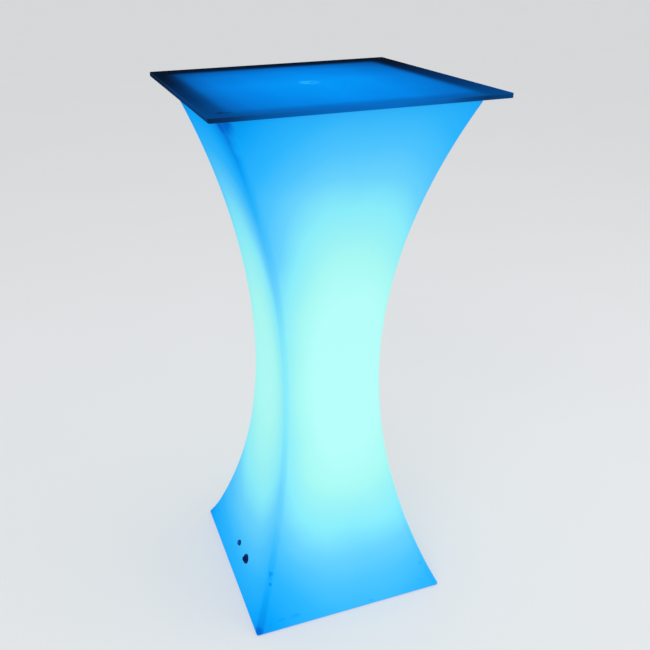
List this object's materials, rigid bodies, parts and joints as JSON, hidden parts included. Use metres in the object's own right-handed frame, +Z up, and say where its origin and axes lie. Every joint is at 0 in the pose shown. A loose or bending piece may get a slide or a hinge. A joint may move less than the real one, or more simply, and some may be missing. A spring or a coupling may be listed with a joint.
{
  "type": "light up led table",
  "caption": "Tall square bar table: a hollow waisted translucent body lit from inside, with a loose square frosted glass top and a switch and charging socket low on one side.",
  "frame": {"origin": "floor level, under the middle of the table", "axes": "+Z up; the side with the switch and the socket faces -X"},
  "size_m": [0.515, 0.515, 1.1],
  "materials": {
    "lit_plastic": "translucent milky plastic, lit from inside in light blue",
    "frosted_glass": "frosted, arrised edges, lit blue from below",
    "clear_plastic": "clear soft plastic",
    "white_plastic": "moulded, fine grain",
    "black_plastic": "moulded, satin",
    "black_rubber": "matt rubber",
    "grey_foam": "closed-cell foam",
    "steel": "zinc plated",
    "brass": "turned",
    "green_board": "lacquered board",
    "white_board": "white lacquered board",
    "light_chip": "clear lens over a light-emitting chip",
    "battery_wrap": "heat-shrunk film",
    "lead_jacket": "soft jacket"
  },
  "bodies": {
    "table": {"body_shell": "lit_plastic", "centre_suction_cup": "clear_plastic", "corner_pad_1": "clear_plastic", "corner_pad_2": "clear_plastic", "corner_pad_3": "clear_plastic", "corner_pad_4": "clear_plastic", "foot_1": "black_rubber", "foot_2": "black_rubber", "foot_3": "black_rubber", "foot_4": "black_rubber", "foot_screw_1": "steel", "foot_screw_2": "steel", "foot_screw_3": "steel", "foot_screw_4": "steel", "base_cover": "white_plastic", "base_gasket": "grey_foam", "cover_screw_1": "steel", "cover_screw_2": "steel", "cover_screw_3": "steel", "cover_screw_4": "steel", "cover_insert_1": "brass", "cover_insert_2": "brass", "cover_insert_3": "brass", "cover_insert_4": "brass", "led_board": "white_board", "led_chip_1": "light_chip", "led_chip_2": "light_chip", "led_chip_3": "light_chip", "led_chip_4": "light_chip", "led_chip_5": "light_chip", "diffuser_dome": "clear_plastic", "dome_screw_1": "steel", "dome_screw_2": "steel", "dome_screw_3": "steel", "battery_pack": "battery_wrap", "battery_strap": "steel", "strap_screw_1": "steel", "strap_screw_2": "steel", "control_board": "green_board", "board_screw_1": "steel", "board_screw_2": "steel", "switch_barrel": "black_plastic", "button_spring": "steel", "switch_seal": "black_rubber", "switch_nut": "black_plastic", "socket_barrel": "black_plastic", "socket_pin": "brass", "socket_seal": "black_rubber", "socket_nut": "black_plastic", "switch_lead": "lead_jacket", "socket_lead": "lead_jacket", "battery_lead": "lead_jacket", "led_lead": "lead_jacket"},
    "glass": {"glass_top": "frosted_glass"},
    "button": {"power_button": "black_rubber"},
    "plug": {"dust_plug": "black_rubber"}
  },
  "joints": [
    {"name": "glass_lift", "type": "slide", "parent": "table", "child": "glass", "axis": [0, 0, 1], "range_m": [0, 0.15]},
    {"name": "button_press", "type": "slide", "parent": "table", "child": "button", "axis": [0.9354, 0, -0.3535], "range_m": [0, 0.0025], "stiffness_N_per_m": 800, "springref_m": -0.003, "deforming": ["button_spring"]},
    {"name": "dust_plug_pull", "type": "slide", "parent": "table", "child": "plug", "axis": [-0.9354, 0, 0.3535], "range_m": [0, 0.012]}
  ]
}
